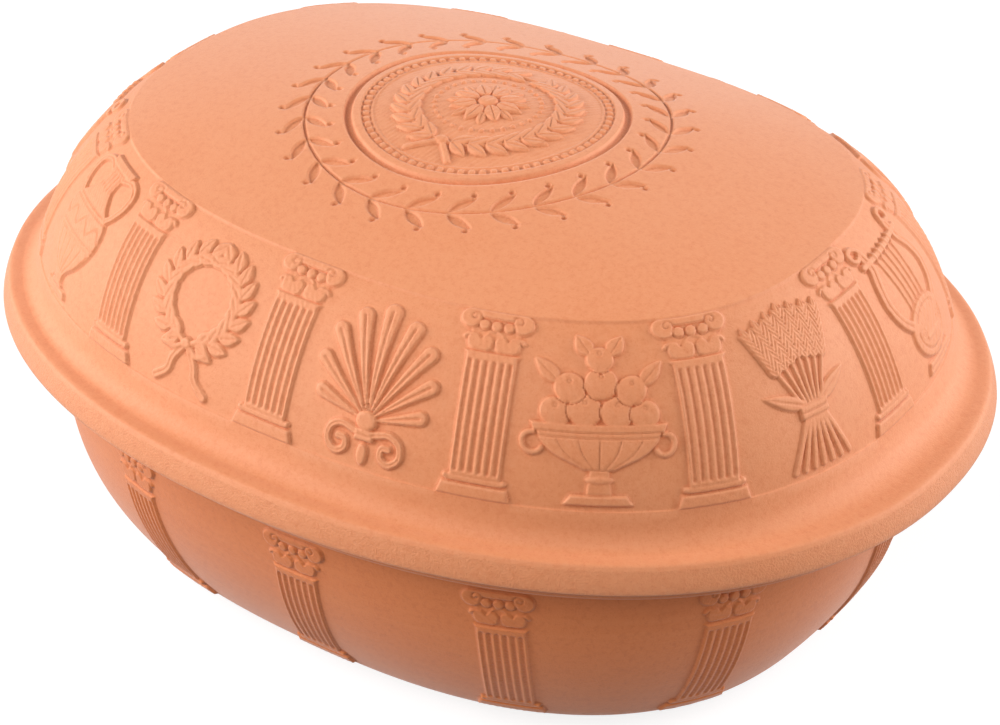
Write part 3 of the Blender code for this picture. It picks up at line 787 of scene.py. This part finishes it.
def relief_heights(station, turns, rises, columns, ornaments):
    """Heights over a wall: a column on every stand, and an ornament in every bay between two of them."""
    tall, top, stands = columns
    high = np.zeros_like(turns)
    y = rises / top * tall
    foot, head = np.radians(np.array(stands)).T
    jobs = [(low, up, COLUMN_HALF + 1.5, None) for low, up in zip(foot, head)]
    if ornaments:
        bays = [blend(stand, np.append(stand[1:], stand[0] + math.tau), 0.5) for stand in (foot, head)]
        for i, (low, up) in enumerate(zip(*bays)):
            jobs.append((low, up, ORNAMENT_HALF, ornaments[i % len(ornaments)]))
    for low, up, half, ornament in jobs:
        centre = blend(low, up, np.clip(y / tall, 0.0, 1.0))
        speed = np.array([pace(station(r), u) for r, u in zip(rises, centre)])
        off = (turns - centre[:, None] + math.pi) % math.tau - math.pi
        near = (np.abs(off) * speed[:, None] < half).any(0)
        x = off[:, near] * speed[:, None]
        rows = np.repeat(y[:, None], near.sum(), 1)
        if ornament is None:
            made = column(x, rows, tall)
        else:
            shape, size = ornament
            made = shape(x / size, rows / size)
        high[:, near] = np.maximum(high[:, near], made * RELIEF)
    return high


def add_wall(skin, station, bearings, rises, columns, before, run, ornaments=(), sunk=0.0, fade=1.0):
    """A wall with relief: heights times fade, plus sunk. Columns are (height, rise of their tops, stands)."""
    turns = with_columns(station, bearings, rises, *columns[1:])
    grid = np.stack([ring(station(rise), turn) for rise, turn in zip(rises, turns)])
    high = relief_heights(station, turns, rises, columns, ornaments) * fade
    level = high + sunk
    grid = raised(grid, level + drift(grid) + crumble(grid) * (high > 0.1))
    # The material paints shade into these hollows
    cavity = hollows(level, MESH_STEP)
    (start, _), run = skin.sheet(grid, bearings, "wall", cavity=cavity, run=run, before=before)
    return (start, turns[-1]), run


def lid_underside(skin):
    """Hollow, locating ridge and the flat seat, out to the band's lower edge."""
    count = even(192)
    ridge_x = MOUTH_X + RIDGE_GAP
    ridge_y = MOUTH_Y + RIDGE_GAP
    dome = []
    for part, drop, thin in ((0.04, 0.0, 0.2), (0.35, 0.0, 1.4), (0.65, 0.0, 2.6), (0.97, 1.5, 7.0)):
        z = blend(HEIGHT, SEAT + SHOULDER_LIFT, part**TOP_POWER) - LID_WALL - drop * MM
        half_x = CROWN_X * part - thin * MM
        half_y = CROWN_Y * part - thin * MM
        dome.append((half_x, half_y, z, SHOULDER_POWER, SHOULDER_SWAY * part))
    wall = []
    for rise in (0.8, 0.45):
        half_x, half_y, z, power, sway = lid_station(rise)
        thin = LID_WALL * blend(0.90, 0.80, rise)
        wall.append((half_x - thin, half_y - thin, z - LID_WALL * 0.55, power, sway))
    inner = RIDGE_GAP + (RIDGE_WIDE - 1.0) * MM
    wall.append(inset(MOUTH_X + inner, MOUTH_Y + inner, SEAT + LINE_LIFT - 5.0 * MM, LINE_POWER))
    # Section of the ridge, as (width from its outer side, height over its lowest level)
    section = (
        (RIDGE_WIDE, RIDGE_DEEP + 2.0), (RIDGE_WIDE, 1.2), (RIDGE_WIDE - 0.2, 0.5), (RIDGE_WIDE - 0.7, 0.1),
        (RIDGE_WIDE - 1.3, 0.0), (1.3, 0.0), (0.6, 0.15), (0.1, 0.7), (0.0, 1.4), (0.0, RIDGE_DEEP - 0.5),
        (-0.1, RIDGE_DEEP - 0.12), (-0.4, RIDGE_DEEP),
    )
    low = SEAT - RIDGE_DEEP * MM
    ridge = [inset(ridge_x + w * MM, ridge_y + w * MM, low + z * MM, RIM_POWER) for w, z in section]
    dense = smooth_run(dome + wall, 4.0 * MM)
    grid = rings(dense, count)
    grid = raised(grid, drift(grid))
    split = next(i for i, s in enumerate(dense) if s[2] < SEAT + SHOULDER_LIFT - LID_WALL - 1.0 * MM)
    last, _ = skin.sheet(grid[:split], count, "hollow")
    skin.pole((0, count), (0.0, 0.0, HEIGHT - LID_WALL), "hollow", True)
    last, run = skin.sheet(grid[split:], count, "inner", before=last)
    last, run = skin.sheet(rings(ridge, count), count, "inner", run=run, before=last)
    seat = []
    for t in (0.05, 0.5, 0.97, 1.0):
        seat.append(inset(blend(ridge_x, BAND_EDGE, t), blend(ridge_y, BAND_EDGE, t), SEAT, RIM_POWER))
    return skin.sheet(rings(seat, count), count, "seat", before=last)[0]


def lid_flange(skin, before):
    """Grainy leaning band, roll, valley and the flare up to the line under the relief."""
    count = even(720)
    stations = [inset(w * MM, w * MM, SEAT + z * MM, RIM_POWER) for w, z in BAND + ROLL]
    valley = ROLL[-1][0] * MM
    for part, lift in FLARE:
        x = blend(valley, FLANGE_X, part)
        y = blend(valley, FLANGE_Y, part)
        stations.append(inset(x, y, SEAT + lift * MM, blend(RIM_POWER, LINE_POWER, part)))
    dense = smooth_run(stations, 0.7 * MM)
    grid = rings(dense, count)
    grid = raised(grid, drift(grid))
    heights = np.array([s[2] - SEAT for s in dense]) / MM
    edge = int(np.argmax(heights > BAND[-1][1]))
    sponge = np.where(np.arange(len(dense)) < edge, 1.0, 0.0)
    return skin.sheet(grid, count, "wall", sponge=sponge, before=before)


def lid_field(skin, before, run):
    """The sloping wall: a shallow sunk field with columns and ornaments."""
    bearings = even(int(LID_WALL_ROUND / MESH_STEP))
    # Closer rows at the foot, where the field steps down
    rises = np.linspace(0.009, 1.0, int(LID_WALL_TALL / MESH_STEP))
    rises = np.concatenate([(0.0, 0.002, 0.004, 0.006), rises])
    fade = ease(1.0, 0.985, rises)[:, None]
    sunk = -FIELD_SUNK * ease(0.0, 0.008, rises)[:, None] * fade
    columns = (LID_COLUMN_TALL, 1.0, LID_BEARINGS)
    return add_wall(skin, lid_station, bearings, rises, columns, before, run, ORNAMENTS, sunk, fade)[0]


def lid_crown(skin, before):
    """The crown with its engraved garland, and the medallion down to its middle."""
    count = even(1040)
    inwards = np.concatenate([[0.012, 0.03, 0.055], np.linspace(0.09, 1.0, 22)])[:, None]
    x, y = oval(CROWN_X, CROWN_Y, SHOULDER_POWER, count)
    x = blend(x, CIRCLE_R * MM * np.cos(count), inwards)
    y = blend(y, CIRCLE_R * MM * np.sin(count), inwards)
    grid = np.stack([x, y, top_height(x, y)], -1)
    grid[..., 2] += drift(grid) * MM
    before, _ = skin.sheet(grid, count, "crown", before=before)
    # Zones inwards, with fewer points round as they get smaller
    zones = (
        (count, np.arange(68.6, 49.0, -0.4), olive_ring),
        (even(760), np.arange(48.6, 17.0, -0.36), medallion),
        (even(300), np.arange(16.8, 0.3, -0.36), medallion),
    )
    for bearings, radii, shape in zones:
        x = radii[:, None] * np.cos(bearings)[None]
        y = radii[:, None] * np.sin(bearings)[None]
        high = shape(x, y)
        grid = np.stack([x * MM, y * MM, top_height(x * MM, y * MM)], -1)
        grid[..., 2] += (high + drift(grid) + crumble(grid) * (np.abs(high) > 0.1)) * MM
        # The material paints shade into these hollows
        before, _ = skin.sheet(grid, bearings, "crown", cavity=hollows(high, 0.38), before=before)
    x = np.array([0.0])
    z = top_height(x, x)[0] + (medallion(x, x)[0] + drift(np.array([0.0, 0.0, HEIGHT]))) * MM
    skin.pole(before, (0.0, 0.0, z), "crown", False)


def make_lid():
    skin = Skin("lid_clay_body")
    before = lid_underside(skin)
    before, run = lid_flange(skin, before)
    before = lid_field(skin, before, run)
    lid_crown(skin, before)
    zones = {
        "wall": ("strip", 0.0, 0.002, 0.102),
        "inner": ("strip", 0.0, 0.412, 0.078),
        "crown": ("plan", 0.235, 0.0, 1),
        "hollow": ("plan", 0.235, 0.0, -1),
        "seat": ("plan", 0.28, 0.45, -1),
    }
    return skin.build(zones, 0.74)


def dish_foot(skin):
    """Sunk middle, flat foot ring, and a corner that runs smoothly into the wall."""
    count = even(240)
    ring_in = DISH_TAPER + FOOT_ROUND + FOOT_WIDE
    # The recess and the foot ring, as (inwards from the ring's inner edge, height over the table)
    rows = (
        (90.0, 1.2), (60.0, 1.2), (30.0, 1.2), (2.4, 1.2), (1.5, 1.0), (0.7, 0.3), (0.0, 0.0), (-6.0, 0.0),
        (-11.5, 0.0),
    )
    under = []
    for inwards, z in rows:
        deep = ring_in + inwards * MM
        half_x = max(HALF_X - DISH_TOP_X - deep, 10.0 * MM)
        half_y = max(HALF_Y - DISH_TOP_Y - deep, 4.0 * MM)
        under.append((half_x, half_y, z * MM, DISH_FOOT_POWER, 0.0))
    dense = smooth_run(under, 5.0 * MM)
    last, _ = skin.sheet(rings(dense, count), count, "under")
    skin.pole((0, count), (0.0, 0.0, FOOT_RECESS), "under", True)
    count = even(480)
    lean = DISH_TAPER * DISH_CURVE * DISH_FOOT_Z / (DISH_TOP_Z - DISH_FOOT_Z)
    turn = []
    for t in np.linspace(0.06, 0.97, 16):
        inwards = DISH_TAPER + FOOT_ROUND * (1.0 - t) ** 2 + 2.0 * lean * t * (1.0 - t)
        turn.append(inset(DISH_TOP_X + inwards, DISH_TOP_Y + inwards, DISH_FOOT_Z * t * t, DISH_FOOT_POWER))
    return skin.sheet(rings(turn, count), count, "wall", before=last)


def dish_rim(skin, last, run):
    """Flat underside of the lip, lip, flat rim and the mouth's edge."""
    count = even(480)
    top = SEAT - SEAT_GAP
    low = SEAT - LIP_DROP
    under = (
        (LIP_WIDE + 3.0 * MM, -0.55 * MM), (LIP_WIDE, -0.4 * MM), (1.6 * MM, -0.05 * MM),
        (0.6 * MM, 0.3 * MM), (0.0, 1.2 * MM),
    )
    over = ((0.0, 1.4 * MM), (0.4 * MM, 0.4 * MM), (RIM_EDGE, 0.0))
    lip = [inset(LIP_INSET + w, LIP_INSET + w, low + z, RIM_POWER) for w, z in under]
    lip += [inset(LIP_INSET + w, LIP_INSET + w, top - z, RIM_POWER) for w, z in over]
    dense = smooth_run(lip, 0.5 * MM)
    # Painted shade: the corner under the lip and the seam under the lid's band are darkened through the
    # cavity mark, for the shade that falls there
    drop = (np.array([s[2] for s in dense]) - low) / MM
    inwards = np.array([HALF_X - s[0] for s in dense]) / MM
    painted_seam_shade = np.maximum(ease(7.5, 8.6, inwards) * ease(1.0, 0.0, drop), ease(1.4, 2.2, drop))
    last, run = skin.sheet(rings(dense, count), count, "wall", cavity=0.5 * painted_seam_shade, run=run, before=last)
    rim = []
    for t in (0.02, 0.5, 1.0):
        x = blend(LIP_INSET + RIM_EDGE, MOUTH_X - 1.5 * MM, t)
        y = blend(LIP_INSET + RIM_EDGE, MOUTH_Y - 1.5 * MM, t)
        rim.append(inset(x, y, top, RIM_POWER))
    return skin.sheet(rings(rim, count), count, "rim", before=last)[0]


def dish_inside(skin, last):
    """The mouth's edge, the wall inside, its rounded corner, and the ribbed floor."""
    count = even(360)
    top = SEAT - SEAT_GAP
    mouth = (
        (0.9, 0.15, RIM_POWER), (0.3, 0.8, RIM_POWER), (0.0, 2.4, RIM_POWER), (0.0, 6.7, DISH_TOP_POWER),
    )
    inner = [inset(MOUTH_X - w * MM, MOUTH_Y - w * MM, top - z * MM, power) for w, z, power in mouth]
    for rise in (0.6, 0.25):
        half_x, half_y, z, power, sway = dish_station(rise)
        inner.append((half_x - DISH_WALL, half_y - DISH_WALL, z, power, sway))
    deep = DISH_TAPER * (1.0 - (FLOOR_TOP - DISH_FOOT_Z) / (DISH_TOP_Z - DISH_FOOT_Z)) ** DISH_CURVE
    floor_x = HALF_X - MOUTH_X - deep
    floor_y = HALF_Y - MOUTH_Y - deep
    for w, z in ((0.2, 8.0), (4.0, 2.4), (FLOOR_ROUND, 0.0)):
        inner.append((floor_x - w * MM, floor_y - w * MM, FLOOR_TOP + z * MM, DISH_FOOT_POWER, 0.0))
    last, _ = skin.sheet(rings(smooth_run(inner, 3.0 * MM), count), count, "inner", before=last)
    half_x = floor_x - FLOOR_ROUND * MM
    half_y = floor_y - FLOOR_ROUND * MM
    parts = np.linspace(0.985, 0.02, 90)
    grid = rings([(half_x * t, half_y * t, FLOOR_TOP, DISH_FOOT_POWER, 0.0) for t in parts], count)
    span_x = HALF_X - (MOUTH_X + DISH_TAPER + RIB_MARGIN)
    span_y = HALF_Y - (MOUTH_Y + DISH_TAPER + RIB_MARGIN)
    ribs = rib_relief(grid[..., 0] / MM, grid[..., 1] / MM, span_x / MM, span_y / MM)
    grid[..., 2] += (ribs + drift(grid)) * MM
    last, _ = skin.sheet(grid, count, "floor", before=last)
    middle = FLOOR_TOP + (RIB_HIGH + drift(np.array([0.0, 0.0, FLOOR_TOP]))) * MM
    skin.pole(last, (0.0, 0.0, middle), "floor", False)


def rib_relief(x, y, span_x, span_y):
    """Low rounded ribs across the floor."""
    high = np.zeros_like(x)
    half = RIB_WIDE / 2
    for i in range(RIBS):
        at = span_x * 0.9 * (2.0 * i / (RIBS - 1) - 1.0)
        long = span_y * (1.0 - abs(at / span_x) ** DISH_FOOT_POWER) ** (1.0 / DISH_FOOT_POWER)
        high = np.maximum(high, swell(rod(x, y, at, half - long, at, long - half, half), RIB_HIGH, half))
    return high


def make_dish():
    skin = Skin("dish_clay_body")
    last, run = dish_foot(skin)
    bearings = even(int(DISH_WALL_ROUND / MESH_STEP))
    rises = np.linspace(0.0, 1.0, int(DISH_WALL_TALL / MESH_STEP))
    columns = (DISH_COLUMN_TALL, DISH_COLUMN_TOP, DISH_BEARINGS)
    last, run = add_wall(skin, dish_station, bearings, rises, columns, last, run)
    last = dish_rim(skin, last, run)
    dish_inside(skin, last)
    zones = {
        "wall": ("strip", 0.0, 0.002, 0.104),
        "inner": ("strip", 0.0, 0.42, 0.082),
        "floor": ("plan", 0.235, 0.0, 1),
        "under": ("plan", 0.235, 0.24, -1),
        "rim": ("plan", 0.4, 0.47, 1),
    }
    return skin.build(zones, 0.76)


class Nodes:
    """Short names for building a node tree."""

    def __init__(self, material):
        self.tree = material.node_tree
        self.tree.nodes.clear()

    def put(self, socket, value):
        """Links a socket to another one, or gives it a plain value."""
        if isinstance(value, bpy.types.NodeSocket):
            self.tree.links.new(value, socket)
        else:
            socket.default_value = value

    def new(self, kind, **inputs):
        node = self.tree.nodes.new(kind)
        for key, value in inputs.items():
            self.put(node.inputs[key.replace("_", " ")], value)
        return node

    def math(self, operation, a, b=0.0, c=None):
        node = self.tree.nodes.new("ShaderNodeMath")
        node.operation = operation
        for i, value in enumerate((a, b) if c is None else (a, b, c)):
            self.put(node.inputs[i], value)
        return node.outputs[0]

    def mark(self, name):
        """A value that the mesh carries on its points."""
        node = self.new("ShaderNodeAttribute")
        node.attribute_name = name
        return node.outputs["Fac"]

    def ramp(self, value, low, high, most=1.0):
        """0 at low and most at high, smooth between."""
        node = self.tree.nodes.new("ShaderNodeMapRange")
        node.interpolation_type = "SMOOTHSTEP"
        sockets = ("Value", "From Min", "From Max", "To Min", "To Max")
        for name, given in zip(sockets, (value, low, high, 0.0, most)):
            self.put(node.inputs[name], given)
        return node.outputs[0]

    def mix(self, factor, a, b):
        node = self.tree.nodes.new("ShaderNodeMix")
        node.data_type = "RGBA"
        for name, value in (("Factor", factor), ("A", a), ("B", b)):
            socket = next(s for s in node.inputs if s.name == name and (s.type == "RGBA" or name == "Factor"))
            self.put(socket, (*value, 1.0) if isinstance(value, tuple) else value)
        return next(s for s in node.outputs if s.type == "RGBA")

    def noise(self, vector, scale, detail=3.0, rough=0.55):
        node = self.new("ShaderNodeTexNoise", Vector=vector, Scale=scale, Detail=detail, Roughness=rough)
        return node.outputs["Fac"]


def terracotta(name, colour, pale, deep, streaks):
    """Unglazed clay: an even colour with fine grain, painted shade darkening the creases, and paler on the
    edges.
    """
    material = bpy.data.materials.new(name)
    material.use_nodes = True
    n = Nodes(material)
    where = n.new("ShaderNodeTexCoord").outputs["Object"]
    cavity = n.mark("cavity")
    sponge = n.mark("sponge")
    drifting = n.noise(where, 14.0, 2.0)
    mottle = n.noise(where, 520.0, 2.0, 0.6)
    grain = n.noise(where, 1500.0, 3.0, 0.65)
    grit = n.noise(where, 3400.0, 2.0)
    flat = n.new("ShaderNodeMapping", Vector=where, Scale=(14.0, 14.0, 420.0))
    wipe = n.noise(flat.outputs[0], 1.0, 3.0, 0.6)
    layers = (
        (drifting, 0.35, 0.70, 0.30, pale),
        (wipe, 0.45, 0.75, streaks, pale),
        # Painted shade: the cavity mark darkens creases and hollows towards the deep colour; raised parts
        # turn paler
        (cavity, 0.03, 0.40, 0.60, deep),
        (cavity, -0.03, -0.35, 0.50, pale),
        (mottle, 0.48, 0.72, 0.24, deep),
        (mottle, 0.50, 0.28, 0.24, pale),
        (grain, 0.54, 0.72, 0.36, deep),
        (grain, 0.46, 0.28, 0.32, pale),
    )
    for value, low, high, most, towards in layers:
        colour = n.mix(n.ramp(value, low, high, most), colour, towards)
    coarse = n.math("MAXIMUM", sponge, n.ramp(cavity, 0.05, 0.35))
    grain_high = n.math("MULTIPLY", grain, n.math("MULTIPLY_ADD", coarse, 1.7, 0.6))
    fine = n.new("ShaderNodeBump", Strength=0.55, Distance=0.0003, Height=grain_high)
    gritty = n.new("ShaderNodeBump", Strength=0.20, Distance=0.0002, Height=grit, Normal=fine.outputs[0])
    soft = 0.25 * streaks
    wiped = n.new("ShaderNodeBump", Strength=soft, Distance=0.0006, Height=wipe, Normal=gritty.outputs[0])
    shader = n.new("ShaderNodeBsdfPrincipled", Base_Color=colour, Roughness=0.6, Normal=wiped.outputs[0])
    n.put(shader.inputs["Specular IOR Level"], 0.5)
    n.put(shader.inputs["Sheen Weight"], 0.25)
    n.put(shader.inputs["Sheen Roughness"], 0.5)
    output = n.new("ShaderNodeOutputMaterial", Surface=shader.outputs[0])
    output.is_active_output = True
    return material


def shown(n):
    """1 for the rays that show a thing straight, in a reflection or through glass, and 0 for its light."""
    path = n.new("ShaderNodeLightPath")
    seen = n.math("MAXIMUM", path.outputs["Is Camera Ray"], path.outputs["Is Glossy Ray"])
    return n.math("MAXIMUM", seen, path.outputs["Is Transmission Ray"])


def floor_material():
    """Plain pale floor: white to the camera, with the object's soft shadow kept."""
    material = bpy.data.materials.new("floor_white")
    material.use_nodes = True
    n = Nodes(material)
    matte = n.new("ShaderNodeBsdfDiffuse", Color=(FLOOR_PALE, FLOOR_PALE, FLOOR_PALE, 1.0))
    strength = n.math("MULTIPLY", shown(n), FLOOR_GLOW)
    glow = n.new("ShaderNodeEmission", Color=(1.0, 1.0, 1.0, 1.0), Strength=strength)
    both = n.new("ShaderNodeAddShader")
    n.put(both.inputs[0], matte.outputs[0])
    n.put(both.inputs[1], glow.outputs[0])
    n.new("ShaderNodeOutputMaterial", Surface=both.outputs[0])
    return material


def add_stage():
    bpy.ops.mesh.primitive_plane_add(size=FLOOR_SIZE, location=(0.0, 0.0, 0.0))
    floor = bpy.context.object
    floor.name = "floor"
    floor.data.materials.append(floor_material())
    world = bpy.data.worlds.new("soft_room")
    bpy.context.scene.world = world
    world.use_nodes = True
    n = Nodes(world)
    strength = n.math("MULTIPLY_ADD", shown(n), 1.0 - ROOM_LIGHT, ROOM_LIGHT)
    glow = n.new("ShaderNodeBackground", Color=(1.0, 1.0, 1.0, 1.0), Strength=strength)
    n.new("ShaderNodeOutputWorld", Surface=glow.outputs[0])


def add_lamp(name, bearing, height, wide, tall, power):
    """A soft lamp at a bearing and height angle in degrees, aimed at the object."""
    data = bpy.data.lights.new(name, "AREA")
    data.shape = "RECTANGLE"
    data.size = wide
    data.size_y = tall
    data.energy = power
    lamp = bpy.data.objects.new(name, data)
    turn = math.radians(bearing)
    rise = math.radians(height)
    away = Vector((math.cos(rise) * math.cos(turn), math.cos(rise) * math.sin(turn), math.sin(rise)))
    lamp.location = Vector(LAMP_AIM) + LAMP_AWAY * away
    lamp.rotation_euler = (-away).to_track_quat("-Z", "Y").to_euler()
    bpy.context.scene.collection.objects.link(lamp)


def add_camera():
    data = bpy.data.cameras.new("camera")
    data.sensor_fit = "HORIZONTAL"
    data.sensor_width = 36.0
    data.lens = CAMERA_LENS
    camera = bpy.data.objects.new("camera", data)
    turn = Matrix.Rotation(math.radians(CAMERA_TURN), 4, "Z")
    tilt = Matrix.Rotation(math.radians(90.0 - CAMERA_TILT), 4, "X")
    roll = Matrix.Rotation(math.radians(CAMERA_ROLL), 4, "Z")
    camera.matrix_world = Matrix.Translation(CAMERA_AT) @ turn @ tilt @ roll
    bpy.context.scene.collection.objects.link(camera)
    bpy.context.scene.camera = camera


def dress(piece, body, node, material):
    """Gives a piece its material and its body, and hides the part that it stands for."""
    piece.data.materials.append(material)
    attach(piece, body)
    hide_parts(node)


def main():
    lid = make_lid()
    dish = make_dish()
    dress(lid, "lid", "lid", terracotta("lid_terracotta", *LID_CLAY))
    dress(dish, "dish", "dish", terracotta("dish_terracotta_shaded", *DISH_CLAY_SHADED))
    add_stage()
    for lamp in LAMPS:
        add_lamp(*lamp)
    add_camera()
    bpy.context.scene.view_settings.view_transform = "Standard"


main()
